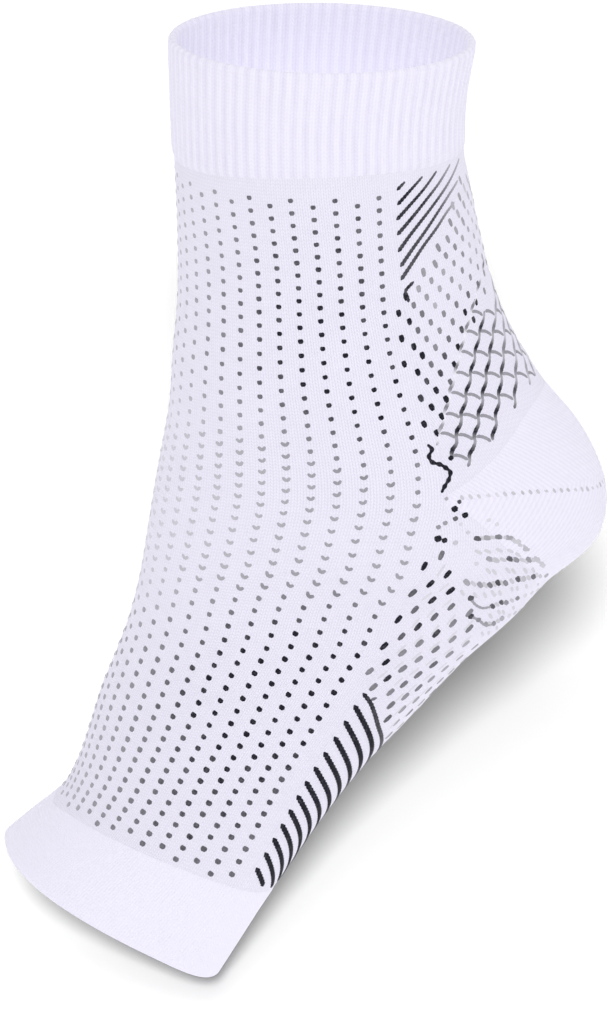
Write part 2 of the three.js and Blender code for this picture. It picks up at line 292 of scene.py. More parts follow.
def newGraph(name, inputs):
    # a geometry tree with one geometry in and out and named inputs
    tree = bpy.data.node_groups.new(name, "GeometryNodeTree")
    tree.interface.new_socket("Geometry", in_out="INPUT", socket_type="NodeSocketGeometry")
    tree.interface.new_socket("Geometry", in_out="OUTPUT", socket_type="NodeSocketGeometry")
    sockets = {}
    for label, (kind, value) in inputs.items():
        made = tree.interface.new_socket(label, in_out="INPUT", socket_type="NodeSocket" + kind)
        if value is not None:
            made.default_value = value
        sockets[label] = made.identifier
    graph = Graph(tree)
    entry = graph.node("NodeGroupInput")
    graph.inputs = {label: entry.of(label) for label in ["Geometry", *inputs]}
    graph.identifiers = sockets
    return graph


def closeGraph(graph, geometry):
    realized = graph.node("GeometryNodeRealizeInstances", {}, {0: geometry})
    dressed = graph.node("GeometryNodeSetMaterial", {}, {0: realized, "Material": graph.inputs["Finish"]})
    graph.node("NodeGroupOutput", {}, {0: dressed})
    return graph


def grow(piece, graph, **values):
    # runs the tree on the piece once and keeps the result as its plain mesh
    modifier = piece.modifiers.new(graph.tree.name, "NODES")
    modifier.node_group = graph.tree
    for label, value in values.items():
        modifier[graph.identifiers[label]] = value
    depsgraph = bpy.context.evaluated_depsgraph_get()
    grown = bpy.data.meshes.new_from_object(piece.evaluated_get(depsgraph), preserve_all_data_layers=True,
                                            depsgraph=depsgraph)
    piece.modifiers.clear()
    grown.name = piece.name
    piece.data = grown


def newPiece(name, points, faces=(), edges=()):
    mesh = bpy.data.meshes.new(name)
    mesh.from_pydata(np.asarray(points, float).reshape(-1, 3).tolist(), edges, faces)
    mesh.update()
    piece = bpy.data.objects.new(name, mesh)
    bpy.context.scene.collection.objects.link(piece)
    return piece


def write(piece, name, values):
    values = np.asarray(values, np.float32)
    kind, field = ("FLOAT_VECTOR", "vector") if values.ndim > 1 else ("FLOAT", "value")
    layer = piece.data.attributes.new(name, kind, "POINT")
    layer.data.foreach_set(field, values.ravel())


def carried(piece, node):
    if node:
        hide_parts(node)
    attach(piece, "root")


# Knitted walls

def knitWall(name, node, finish, look, along, girth, over, under, wale, ring=False, free=1.0):
    # a closed wall from grids of places; its UV map counts stitches across and down, and free is
    # how far the relief may move each place
    course = along / look["courseHeight"]
    rowCount, wide = along.shape
    columnCount = wide if ring else wide - 1
    outward = bearings(along, girth)[0]
    base = skin(along, girth)
    faces = [base + outward * over[..., None], base + outward * under[..., None]]
    inner = rowCount * wide
    corners, places = [], []

    def spot(i, j, side):
        return side * inner + i * wide + j % wide

    def quad(*picked):
        corners.append([spot(*p) for p in picked])
        places.append([(p[0], p[1]) for p in picked])

    for i in range(rowCount - 1):
        for j in range(columnCount):
            quad((i, j, 0), (i + 1, j, 0), (i + 1, j + 1, 0), (i, j + 1, 0))
            quad((i, j + 1, 1), (i + 1, j + 1, 1), (i + 1, j, 1), (i, j, 1))
    last = rowCount - 1
    for j in range(columnCount):
        quad((0, j, 0), (0, j + 1, 0), (0, j + 1, 1), (0, j, 1))
        quad((last, j + 1, 0), (last, j, 0), (last, j, 1), (last, j + 1, 1))
    if not ring:
        for i in range(rowCount - 1):
            quad((i + 1, 0, 0), (i, 0, 0), (i, 0, 1), (i + 1, 0, 1))
            quad((i, wide - 1, 0), (i + 1, wide - 1, 0), (i + 1, wide - 1, 1), (i, wide - 1, 1))
    piece = newPiece(name, np.concatenate([face.reshape(-1, 3) for face in faces]), corners)
    if ring:  # stitches go on counting over the closing column
        wale = np.concatenate((wale, wale[:, :1] + (wale[:, -1:] - wale[:, :1]) * wide / (wide - 1)), axis=1)
        course = np.concatenate((course, course[:, :1]), axis=1)
    places = np.array(places).reshape(-1, 2)
    knit = piece.data.uv_layers.new(name="knit")
    knit.data.foreach_set("uv", np.stack([wale[places[:, 0], places[:, 1]],
                                          course[places[:, 0], places[:, 1]]], -1).astype(np.float32).ravel())
    write(piece, "outward", np.tile(outward.reshape(-1, 3), (2, 1)))
    write(piece, "wale", np.tile(wale[:, :wide].ravel(), 2))
    write(piece, "free", np.tile((free * np.ones_like(along)).ravel(), 2))
    grow(piece, relief, **{"Rib depth": look.get("ribDepth", 0.0),
                           "Stitches per rib": float(look.get("stitchesPerRib", 1)),
                           "Softness": look.get("softness", 0.0), "Finish": finish})
    mesh = piece.data
    for layer in ("outward", "wale", "free"):
        mesh.attributes.remove(mesh.attributes[layer])
    mesh.shade_smooth()
    mesh.set_sharp_from_angle(angle=math.radians(50))
    carried(piece, node)


def reliefGraph():
    # ribs and the soft unevenness of cloth, pushed along the outward direction of both faces
    graph = newGraph("knitRelief", {
        "Rib depth": ("Float", 0.0), "Stitches per rib": ("Float", 1.0), "Softness": ("Float", 0.0),
        "Softness scale": ("Float", 40.0), "Seed": ("Float", 3.0), "Finish": ("Material", None)})
    given = graph.inputs
    rib = ((graph.attribute("wale") / given["Stitches per rib"]).wave() - 0.5) * given["Rib depth"]
    cloud = graph.node("ShaderNodeTexNoise", {"noise_dimensions": "4D"}, {
        "Vector": graph.node("GeometryNodeInputPosition"), "W": given["Seed"],
        "Scale": given["Softness scale"], "Detail": 1.5})
    push = (rib + (cloud - 0.5) * given["Softness"]) * graph.attribute("free")
    offset = graph.scaled(graph.attribute("outward", "FLOAT_VECTOR"), push)
    moved = graph.node("GeometryNodeSetPosition", {}, {"Geometry": given["Geometry"], "Offset": offset})
    return closeGraph(graph, moved)


# Finishes

def newFinish(name):
    # a material with an empty tree, and the place in it that each texture is read at
    material = bpy.data.materials.new(name)
    material.use_nodes = True
    material.node_tree.nodes.clear()
    graph = Graph(material.node_tree)
    return material, graph, graph.node("ShaderNodeTexCoord", output=3)


def closeFinish(material, graph, values):
    surface = graph.node("ShaderNodeBsdfPrincipled", {}, values)
    graph.node("ShaderNodeOutputMaterial", {}, {"Surface": surface})
    return material


def yarnCloth(name, look):
    # white knit: rows of V stitches from the UV map with painted shade in the gaps between them, soft
    # mottling, fuzz
    material, graph, body = newFinish(name)
    knit = graph.node("ShaderNodeSeparateXYZ", {}, {0: graph.node("ShaderNodeUVMap", {"uv_map": "knit"})})
    wale, course = knit.of("X"), knit.of("Y")
    aside = abs(wale.fraction() - 0.5) * 2  # 0 in the middle of a stitch, 1 between stitches
    legs = (aside * math.pi).math("SINE", aside * math.pi) ** 0.6
    rows = (course + aside * look["stitchLean"]).wave()
    stitch = legs * (rows * 0.55 + 0.45)
    cloud = graph.noise(body, look["mottleScale"], 3.0)
    fuzz = graph.noise(body, look["fuzzScale"], 2.0)
    shade = stitch * look["stitchShade"] + cloud * look["mottle"] + (1 - look["stitchShade"] - look["mottle"])
    if "ribShade" in look:  # painted shade in the furrows between the ribs, unevenly dark
        furrow = 1 - (wale / look["ribStitches"]).wave()
        shade = shade - (furrow - 0.4) * graph.noise(body, look["ribScale"], 2.0) * look["ribShade"]
    if "hatch" in look:  # painted shade along slanting stitch lines that turn at the line of stitches across the heel
        lines = ((abs(wale) - abs(course - look["turnCourse"])) * look["hatch"]).wave()
        shade = shade - (lines - 0.4) * look["hatchShade"]
    # painted shade: the valley colour fills the gaps between stitches and rows, and the mottling varies it at
    # random
    colour = graph.mixColour(shade, look["valleyShade"], look["face"])
    bump = graph.node("ShaderNodeBump", {}, {"Strength": look["bump"], "Distance": look["stitchDepth"],
                                             "Height": stitch + fuzz * look["fuzz"]})
    return closeFinish(material, graph, {
        "Base Color": colour, "Roughness": look["roughness"] - stitch * 0.08, "Normal": bump,
        "Specular IOR Level": 0.25, "Sheen Weight": look["sheen"], "Sheen Roughness": 0.5})


# face is the yarn's own colour; the valley colour is painted shade for the gaps between stitches
whiteLook = {
    "face": (0.885, 0.86, 0.985, 1), "valleyShade": (0.73, 0.7, 0.86, 1), "stitchLean": 0.6,
    "stitchShade": 0.3, "mottle": 0.12, "mottleScale": 55.0, "stitchDepth": 0.00022, "bump": 0.55,
    "fuzz": 0.35, "fuzzScale": 2600.0, "roughness": 0.9, "sheen": 0.25,
}
ribCloth = yarnCloth("white_rib_knit", {**whiteLook, "stitchShade": 0.46, "mottle": 0.22, "ribShade": 0.85,
                                        "ribScale": 120.0, "ribStitches": 2.0})
# tube and panels: a darker valley colour, so deeper painted shade between the stitches
deepLook = {**whiteLook, "valleyShade": (0.6, 0.58, 0.71, 1), "stitchShade": 0.4, "stitchDepth": 0.0003}
tubeCloth = yarnCloth("white_tube_knit", deepLook)
panelCloth = yarnCloth("white_panel_knit", deepLook)
plainCloth = yarnCloth("white_plain_knit", {**whiteLook, "stitchShade": 0.24, "mottle": 0.08})
heelCloth = yarnCloth("white_heel_knit", {**whiteLook, "stitchShade": 0.16, "mottle": 0.08, "hatch": 0.54,
                                          "turnCourse": 127.0, "hatchShade": 0.4})


def patternYarn(name, look):
    # yarn of the pattern: the tone attribute runs from the white ground to the dark yarn
    material, graph, body = newFinish(name)
    tone = graph.node("ShaderNodeAttribute", {"attribute_name": "tone"}, output=2)
    fibre = graph.noise(body, look["fibreScale"], 2.0)
    share = graph.node("ShaderNodeClamp", {}, {0: tone + (fibre - 0.5) * look["fibre"] * tone})
    colour = graph.mixColour(share, look["pale"], look["dark"])
    bump = graph.node("ShaderNodeBump", {}, {"Strength": 0.5, "Distance": look["fibreDepth"],
                                             "Height": fibre})
    return closeFinish(material, graph, {
        "Base Color": colour, "Roughness": 0.86 - fibre * 0.1, "Normal": bump,
        "Specular IOR Level": 0.12, "Sheen Weight": 0.03, "Sheen Roughness": 0.5})


darkYarn = patternYarn("dark_pattern_yarn", {
    "pale": (0.87, 0.855, 0.94, 1), "dark": (0.012, 0.012, 0.02, 1), "fibre": 0.25,
    "fibreScale": 1800.0, "fibreDepth": 0.00012})
print("finishes made")

# The knitted pieces

relief = reliefGraph()
seam = 0.000008  # they stop this far from the line they share
roundSteps = (1 - np.cos(np.radians([4, 20, 36, 52, 70, 90]))) / 2  # rows round a welt's free edge


def weltFaces(look, fromFreeEdge, fromSeam):
    # both faces of a welt: round at the free edge, drawn in to the tube at the seam
    share = np.clip(fromFreeEdge / look["thickness"], 0, 0.5)
    full = np.sqrt(np.clip(1 - (1 - 2 * share) ** 2, 0.03, 1))
    out = ease(0, look["drawIn"], fromSeam)
    middle = look["lift"] - look["thickness"] / 2
    return ((middle + full * look["thickness"] / 2) * out,
            (middle - full * look["thickness"] / 2) * out - tube["thickness"] * (1 - out))


cuff = {"thickness": 0.0024, "lift": 0.0005, "drawIn": 0.0016, "ribs": 72, "ribDepth": 0.00042,
        "columnsPerRib": 8, "rows": 22, "stitchesPerRib": 2, "courseHeight": 0.0011, "softness": 0.00012,
        "rimRelief": 0.25, "rimFade": 0.003, "footFade": (0.0008, 0.0045)}


def makeCuff():
    # a ribbed double welt that stands out from the tube under it
    columns = cuff["ribs"] * cuff["columnsPerRib"]
    girth = np.linspace(-1, 1, columns + 1)[:-1]
    edge = cuffEdge(girth) - seam
    start = roundSteps[-1] * cuff["thickness"]
    levels = np.linspace(0, 1, cuff["rows"] + 1)[1:]
    along = np.concatenate((np.repeat(roundSteps[:, None] * cuff["thickness"], columns, axis=1),
                            start + (edge - start) * levels[:, None]))
    over, under = weltFaces(cuff, along, edge - along)
    stitches = cuff["ribs"] * cuff["stitchesPerRib"]
    wale = np.broadcast_to(np.arange(columns) * stitches / columns, along.shape)
    knitWall("cuff_knit", "cuff", ribCloth, cuff, along,
             np.broadcast_to(girth, along.shape), over, under, wale, ring=True,
             free=((cuff["rimRelief"] + (1 - cuff["rimRelief"]) * ease(0, cuff["rimFade"], along))
                   * ease(*cuff["footFade"], edge - along)))


tube = {"thickness": 0.0012, "wales": 110, "courseHeight": 0.00101, "rows": 168, "columns": 120,
        "softness": 0.00012, "sideFade": 0.12}


def makeTube():
    turn = np.linspace(-1, 1, tube["columns"] + 1)
    levels = np.linspace(0, 1, tube["rows"] + 1)[:, None]
    top = cuffEdge(turn * edgeGirth(sock["cuffHeight"])) + seam
    bottom = toeEdge(turn * edgeGirth(sockLength - sock["toeBandHeight"])) - seam
    along = top + (bottom - top) * levels
    edge = edgeGirth(along)
    girth = turn * (edge - seam / halfGirth(along))
    over = np.zeros_like(along)
    wale = np.broadcast_to(turn * tube["wales"] / 2, along.shape)
    knitWall("leg_and_instep_knit", "leg_and_instep", tubeCloth, tube, along, girth,
             over, over - tube["thickness"], wale, free=ease(0, tube["sideFade"], 1 - np.abs(turn)))


panel = {"thickness": 0.0014, "waleWidth": 0.0015, "courseHeight": 0.0011, "softness": 0.00012,
         "sideFade": 0.08, "endFade": 0.06}
heel = {"thickness": 0.0017, "waleWidth": 0.001, "courseHeight": 0.001, "ribDepth": 0.00016,
        "stitchesPerRib": 2, "sideFade": 0.08, "endFade": 0.06}


def makeBackPart(name, node, look, finish, rows, columns, topEdge, bottomEdge):
    # columns run from the -Y side edge over the back line to the +Y side edge
    turn = np.linspace(0, 1, columns + 1)
    across = 1 - np.abs(1 - 2 * turn)
    levels = np.linspace(0, 1, rows + 1)[:, None]
    top, bottom = topEdge(across) + seam, bottomEdge(across) - seam
    along = top + (bottom - top) * levels
    edge = edgeGirth(along) + seam / halfGirth(along)
    girth = edge + (2 - 2 * edge) * turn
    over = np.zeros_like(along)
    fromBack = (turn - 0.5) * 2 * (1 - edge) * halfGirth(along)
    knitWall(name, node, finish, look, along, girth, over, over - look["thickness"],
             fromBack / look["waleWidth"],
             free=(ease(0, look["sideFade"], across) * ease(0, look["endFade"], levels)
                   * ease(0, look["endFade"], 1 - levels)))


toeBand = {"thickness": 0.002, "lift": 0.0002, "drawIn": 0.0016, "wales": 150, "courseHeight": 0.0011,
           "rows": 22, "columns": 260, "softness": 0.00012, "rimRelief": 0.4, "rimFade": 0.003}


def makeToeBand():
    columns = toeBand["columns"]
    girth = np.linspace(-1, 1, columns + 1)[:-1]
    edge = toeEdge(girth) + seam
    last = sockLength - roundSteps[-1] * toeBand["thickness"]
    levels = np.linspace(0, 1, toeBand["rows"] + 1)[:-1, None]
    rounding = sockLength - roundSteps[::-1, None] * toeBand["thickness"]
    along = np.concatenate((edge + (last - edge) * levels, np.repeat(rounding, columns, axis=1)))
    over, under = weltFaces(toeBand, sockLength - along, along - edge)
    wale = np.broadcast_to(np.arange(columns) * toeBand["wales"] / columns, along.shape)
    knitWall("toe_band_knit", "toe_band", plainCloth, toeBand, along,
             np.broadcast_to(girth, along.shape), over, under, wale, ring=True,
             free=(toeBand["rimRelief"]
                   + (1 - toeBand["rimRelief"]) * ease(0, toeBand["rimFade"], sockLength - along)))


overCuff = lambda across: cuffEdge(placeAcross(across, sock["cuffHeight"] / sockLength))
overHeel = lambda across: held(*heelTop, across) * sockLength
underHeel = lambda across: held(*heelBase, across) * sockLength
overToes = lambda across: toeEdge(placeAcross(across, 1 - sock["toeBandHeight"] / sockLength))
makeCuff()
makeTube()
makeBackPart("achilles_panel_knit", "achilles_panel", panel, panelCloth,
             60, 72, overCuff, overHeel)
makeBackPart("heel_pocket_knit", "heel_pocket", heel, heelCloth, 44, 264,
             overHeel, underHeel)
makeBackPart("arch_panel_knit", "arch_panel", panel, panelCloth,
             84, 92, underHeel, overToes)
makeToeBand()
print("knitted walls made")

# Pattern stitches: each mark is a place on the skin with a heading, a size and a tone

def stitchGraph():
    # a short knitted stitch of two leaning yarns on each point
    graph = newGraph("patternStitches", {
        "Yarn apart": ("Float", 0.13), "Yarn lean": ("Float", 0.2), "Yarn width": ("Float", 0.54),
        "Uneven": ("Float", 0.05), "Seed": ("Int", 5), "Finish": ("Material", None)})
    given = graph.inputs
    strand = graph.node("GeometryNodeMeshUVSphere", {}, {"Segments": 7, "Rings": 4, "Radius": 0.5})
    sides = []
    for way in (-1, 1):
        place = graph.node("ShaderNodeCombineXYZ", {}, {"X": given["Yarn apart"] * way})
        turn = graph.node("ShaderNodeCombineXYZ", {}, {"X": math.pi / 2, "Z": given["Yarn lean"] * way})
        size = graph.node("ShaderNodeCombineXYZ", {}, {"X": given["Yarn width"] * 1.5, "Y": 1.0, "Z": 1.0})
        sides.append(graph.node("GeometryNodeTransform", {}, {
            "Geometry": strand, "Translation": place, "Rotation": turn, "Scale": size}))
    join = graph.tree.nodes.new("GeometryNodeJoinGeometry")
    for side in sides:
        graph.tree.links.new(side.socket, join.inputs[0])
    stitch = Wire(graph, join.outputs[0])
    facing = graph.node("FunctionNodeAlignRotationToVector", {"axis": "Z"},
                        {"Vector": graph.attribute("facing", "FLOAT_VECTOR")})
    turned = graph.node("FunctionNodeAlignRotationToVector", {"axis": "Y", "pivot_axis": "Z"},
                        {"Rotation": facing, "Vector": graph.attribute("heading", "FLOAT_VECTOR")})
    jitter = graph.node("FunctionNodeRandomValue", {"data_type": "FLOAT"},
                        {2: 1 - given["Uneven"], 3: given["Uneven"] + 1, "Seed": given["Seed"]}, 1)
    size = graph.scaled(graph.attribute("size", "FLOAT_VECTOR"), jitter)
    placed = graph.node("GeometryNodeInstanceOnPoints", {}, {
        "Points": given["Geometry"], "Instance": stitch, "Rotation": turned, "Scale": size})
    return closeGraph(graph, graph.node("GeometryNodeSetShadeSmooth", {}, {0: placed}))


def mirrored(vectors):
    return np.concatenate((vectors, vectors * [1, -1, 1]))


pattern = {"stitchSink": 0.2, "yarnSink": 0.06, "yarnStep": 0.0004}  # sunk shares of height and thickness


def growPattern(piece, graph, shape):
    grow(piece, graph, **{"Finish": darkYarn, **shape})
    piece.data.shade_smooth()
    carried(piece, None)
    print(piece.name, "made with", len(piece.data.polygons), "faces")


def makeMarks(name, marks, slot="white_patterned_knit", **shape):
    # marks: across, along share, angle from the way down the sock, width, length, height, tone;
    # each is on both sides of the sock
    marks = np.array(marks, float)
    across, share, angle, width, length, height, tone = marks.T
    along, girth = share * sockLength, placeAcross(across, share)
    outward, down, around = bearings(along, girth)
    heading = down * np.cos(angle)[:, None] + around * np.sin(angle)[:, None]
    piece = newPiece(name, mirrored(skin(along, girth) - outward * (height * pattern["stitchSink"])[:, None]))
    write(piece, "facing", mirrored(outward))
    write(piece, "heading", mirrored(heading))
    write(piece, "size", np.tile(np.stack([width, length, height], -1), (2, 1)))
    write(piece, "tone", np.tile(tone, 2))
    growPattern(piece, stitches, shape)


random = np.random.default_rng(11)
stitches = stitchGraph()

# Dots of the tube: columns from the side edge to the front line, every other one half a row lower
dots = {
    "columns": 27, "rows": 54, "width": 0.00165, "height": 0.0016, "rise": 0.0006, "waver": 0.05,
    "lowerGrowth": 0.13, "lateColumns": (0, 2, 5), "late": (0.06, 0.04, 0.0),
    # how far along the sock the rows lie on the front line and on the column at the side edge
    "rowSteps": (0, 10, 20, 26, 33, 42, 51),
    "frontRows": (0.131, 0.262, 0.411, 0.488, 0.582, 0.736, 0.872),
    "edgeRows": (0.136, 0.272, 0.421, 0.508, 0.624, 0.765, 0.88), "rowBend": 2.6,
    # how far round the columns reach, and how they draw together toward the front line
    "turnAlong": (0.13, 0.21, 0.3, 0.4, 0.475, 0.55, 0.65, 0.77, 0.89),
    "edgeTurn": (0.97, 0.941, 0.916, 0.928, 0.91, 0.929, 0.915, 0.918, 0.935),
    "spread": (1.12, 1.06, 1.07, 1.16, 1.16, 1.18, 1.12, 1.0, 1.03),
    "openFrom": 0.39, "openTo": 0.545, "openLean": 0.03, "openWidth": 0.0022, "openLength": 0.00185,
    "tilt": 0.15, "clear": 0.005, "grows": (0.55, 0.68), "boldFrom": 0.6, "boldness": 0.75,
    "toneColumns": (0, 2, 4, 6, 9, 11, 13), "tones": (0.92, 0.98, 0.95, 0.86, 0.62, 0.46, 0.36),
    "fadeAlong": (0.13, 0.22, 0.33, 0.37, 0.42, 0.51, 0.55, 0.6, 0.82, 0.9),
    "fade": (0.9, 1.0, 1.0, 0.75, 0.62, 0.58, 0.68, 0.95, 0.95, 0.88),
}


def dotMarks():
    closed, opened, middle = [], [], dots["columns"] // 2
    for column in range(middle + 1):
        fromFront = 1 - column / middle
        for row in range(dots["rows"]):
            step = row + (0.5 if column % 2 else 0)
            front, edge = (smooth(dots["rowSteps"], dots[rows], step) for rows in ("frontRows", "edgeRows"))
            share = float(front + (edge - front) * fromFront ** dots["rowBend"])
            spread = float(held(dots["turnAlong"], dots["spread"], share))
            turn = float(held(dots["turnAlong"], dots["edgeTurn"], share)) * fromFront ** spread
            ends = float(toeEdge(turn * float(edgeGirth(share * sockLength)))) / sockLength
            if share > ends - dots["clear"]:
                continue
            # the columns near the side edge stay dark and closed a little further down
            late = float(held(dots["lateColumns"], dots["late"], column)) if share < 0.5 else 0
            fade = float(held(dots["fadeAlong"], dots["fade"], share - late))
            tone = float(held(dots["toneColumns"], dots["tones"], column))
            tone = tone ** (dots["boldness"] if share > dots["boldFrom"] else 1) * fade
            tone = min(tone * random.uniform(1 - dots["waver"], 1 + dots["waver"]), 1)
            angle = random.uniform(-dots["tilt"], dots["tilt"])
            if dots["openFrom"] + late < share < dots["openTo"] + dots["openLean"] * fromFront:
                opened.append((turn - 1, share, angle, dots["openWidth"], dots["openLength"],
                               dots["rise"], tone))
            else:
                size = 1 + dots["lowerGrowth"] * float(ease(*dots["grows"], share))
                closed.append((turn - 1, share, angle, dots["width"] * size, dots["height"] * size,
                               dots["rise"], tone))
    return closed, opened


closedDots, openDots = dotMarks()
makeMarks("tube_dots", closedDots, "white_dotted_knit")
makeMarks("tube_open_dots", openDots, "white_dotted_knit",
          **{"Yarn apart": 0.23, "Yarn lean": 0.62, "Yarn width": 0.4})

# Dashes down the back of the ankle, in slanting rows between the stripes and the net
ankleDashes = {
    "rows": range(-11, 10), "steps": range(-12, 24),
    "start": (-0.022, 0.261), "step": (0.04, 0.0108), "row": (-0.05, 0.016),  # across, along share
    "bend": (0.1, 0.4), "bendOver": (0.19, 0.26),  # the rows curve more past this stretch
    "sides": (-0.045, 0.98), "top": 0.14, "stripesEnd": (0.245, -0.155), "toNet": 0.002,
    "netTop": ((0, 0.11, 0.25, 0.35, 0.44, 0.6, 0.73, 1),
               (0.402, 0.365, 0.333, 0.31, 0.297, 0.284, 0.272, 0.25)),
    "width": 0.0016, "length": 0.0025, "rise": 0.0006, "turnAt": 0.22, "headings": (0.35, 0.08),
}


def ankleDashMarks():
    marks, look = [], ankleDashes
    for row in look["rows"]:
        for step in look["steps"]:
            even, share = (look["start"][k] + look["step"][k] * step + look["row"][k] * row for k in (0, 1))
            bend = look["bend"][0] + look["bend"][1] * float(ease(*look["bendOver"], share))
            across = even + bend * even * abs(even) if even > 0 else even
            stripesEnd = look["stripesEnd"][0] + look["stripesEnd"][1] * across
            toNet = float(held(*look["netTop"], across)) - share
            if (not look["sides"][0] < across < look["sides"][1] or share < max(stripesEnd, look["top"])
                    or toNet < look["toNet"]):
                continue
            # darker by the net and by the side edge, paler toward the back line
            tone = 0.6 + 0.4 * float(ease(0.05, 0.015, toNet)) + 0.5 * float(ease(0.16, 0.0, across))
            tone = min(1, tone * random.uniform(0.8, 1.2)) * (1 - 0.35 * float(ease(0.5, 0.8, across)))
            grown = 0.8 + 0.25 * tone
            length = look["length"] * (grown if share > 0.25 - 0.1 * across else 1.15 + 0.45 * across)
            marks.append((across, share, look["headings"][share > look["turnAt"]], look["width"] * grown,
                          length, look["rise"], tone))
    return marks


# Dashes under the ankle and along the arch: columns down the sole, each next one a step lower
archDashes = {
    "columns": 19, "columnStep": 0.0525, "firstAlong": 0.528, "rowStep": 0.0336, "columnDrop": 0.0222,
    "rows": 14, "top": (0.502, 0.27), "bottom": (0.68, 0.24),  # where they begin and end, and the slope
    "waver": 0.014, "waverFrom": 0.545, "waverLength": 0.13, "closeFrom": 0.68, "close": 0.25,
    "heading": -0.22, "width": 0.0015, "length": 0.0034, "rise": 0.0006,
    # a fine thread lies between neighbouring dashes
    "thread": {"sides": (0.03, 0.7), "width": 0.0007, "length": 0.0044, "rise": 0.0003, "tone": 0.2},
}


def archDashMarks():
    marks, look, thread = [], archDashes, archDashes["thread"]
    for column in range(look["columns"]):
        across = look["columnStep"] * column
        top, bottom = (end[0] + end[1] * across for end in (look["top"], look["bottom"]))
        begin = look["firstAlong"] + (look["columnDrop"] * column) % look["rowStep"] - look["rowStep"]
        for step in range(look["rows"]):
            share = begin + look["rowStep"] * step
            if not top < share < bottom:
                continue
            place = across + look["waver"] * math.sin(2 * math.pi * (share - look["waverFrom"])
                                                      / look["waverLength"])
            tone = (1.0 - 0.38 * float(ease(0.08, 0.5, across))) * (1 - 0.4 * float(ease(0.5, 0.9, across)))
            share -= look["close"] * max(0, share - look["closeFrom"])
            marks.append((place, share, look["heading"], look["width"], look["length"], look["rise"],
                          float(np.clip(tone * random.uniform(0.72, 1.1), 0.14, 1))))
            if thread["sides"][0] < across < thread["sides"][1] and share + look["rowStep"] < bottom:
                marks.append((place + 0.5 * look["columnStep"], share + 0.5 * look["rowStep"],
                              look["heading"], thread["width"], thread["length"], thread["rise"],
                              thread["tone"]))
    return marks


# Rows of stitches under the heel, the line of stitches across it, and the few at the ankle
heelRows = (  # places (across, along share, tone) on each row; toward the back line they go on evenly
    ((0.17, 0.501, 0.85), (0.21, 0.501, 0.5), (0.26, 0.501, 0.7), (0.31, 0.503, 0.5), (0.35, 0.508, 0.25),
     (0.4, 0.517, 0.35)),
    ((0.25, 0.524, 0.5), (0.28, 0.526, 0.3), (0.34, 0.526, 0.85), (0.37, 0.528, 0.6), (0.43, 0.53, 0.55),
     (0.47, 0.531, 0.3), (0.52, 0.54, 0.25)),
    ((0.21, 0.551, 0.5), (0.28, 0.556, 0.55), (0.33, 0.558, 0.75), (0.36, 0.556, 0.9), (0.4, 0.558, 0.65),
     (0.45, 0.555, 0.85), (0.48, 0.556, 0.35), (0.53, 0.556, 0.8), (0.62, 0.56, 0.4)),
    ((0.43, 0.59, 0.85), (0.47, 0.587, 0.85), (0.5, 0.589, 0.6), (0.56, 0.587, 0.65)),
    ((0.45, 0.615, 0.55), (0.5, 0.617, 0.6), (0.54, 0.613, 0.45)))
heelRowsLook = {"heading": 1.35, "length": 0.0027, "width": 0.00155, "rise": 0.0005, "farStep": 0.05,
                "farTone": 0.3, "pairDrop": 0.0142, "pairTone": 0.26, "linkTone": 0.34}
heelLine = {"count": 23, "first": 0.07, "step": 0.041, "across": (0.05, 0.27, 0.46, 0.65, 0.75, 1),
            "along": (0.458, 0.459, 0.462, 0.468, 0.472, 0.475), "tone": 0.34}
anklePoints = (  # across, along share, size, tone
    (0.05, 0.417, 1.15, 1.0), (0.06, 0.462, 0.95, 0.9), (0.04, 0.469, 1.35, 1.0), (0.09, 0.476, 1.35, 1.0),
    (0.05, 0.479, 1.15, 0.85), (0.01, 0.483, 1.0, 0.6), (-0.01, 0.487, 1.0, 0.65), (0.0, 0.499, 1.5, 1.0),
    (0.03, 0.501, 1.25, 1.0), (0.08, 0.504, 1.0, 0.35), (0.29, 0.574, 1.3, 0.9), (0.34, 0.599, 1.4, 0.95),
    (0.39, 0.606, 1.1, 0.7), (0.08, 0.485, 0.8, 0.2), (0.12, 0.494, 0.9, 0.3), (0.2, 0.483, 0.9, 0.2),
    (0.24, 0.488, 0.9, 0.2), (0.2, 0.528, 0.9, 0.25), (0.4, 0.574, 0.9, 0.25), (0.0, 0.458, 0.8, 0.5))
anklePointSize = 0.0015


def heelMarks():
    marks, look = [], heelRowsLook
    asMark = (look["heading"], look["width"], look["length"], look["rise"])
    for row in heelRows:
        for across, share, tone in row:  # each has a fainter one below it
            marks.append((across, share, *asMark, tone ** 0.8))
            marks.append((across + 0.02, share + look["pairDrop"], 1.2, 0.001, look["length"], 0.0004,
                          look["pairTone"]))
        for (across, share, _), (nextAcross, nextShare, _) in zip(row, row[1:]):
            marks.append(((across + nextAcross) / 2, (share + nextShare) / 2, look["heading"], 0.0011,
                          look["length"], 0.0003, look["linkTone"]))
        across, share = row[-1][:2]
        while across + look["farStep"] < 0.98:
            across += look["farStep"]
            if share > float(held(*heelBase, across)):
                marks.append((across, share, *asMark, look["farTone"] * random.uniform(0.7, 1.3)))
    for step in range(heelLine["count"]):
        across = heelLine["first"] + heelLine["step"] * step
        share = float(held(heelLine["across"], heelLine["along"], across))
        marks.append((across, share, 0.5, 0.001, 0.0019, 0.0004, heelLine["tone"] * random.uniform(0.6, 1.2)))
    for across, share, size, tone in anklePoints:
        marks.append((across, share, 0.3, anklePointSize * size, anklePointSize * size, 0.0006, tone))
    return marks


makeMarks("ankle_dashes", ankleDashMarks())
makeMarks("arch_dashes", archDashMarks())
makeMarks("heel_marks", heelMarks())


# Pattern yarn in lines: stripes, the net behind the ankle and the hook lines

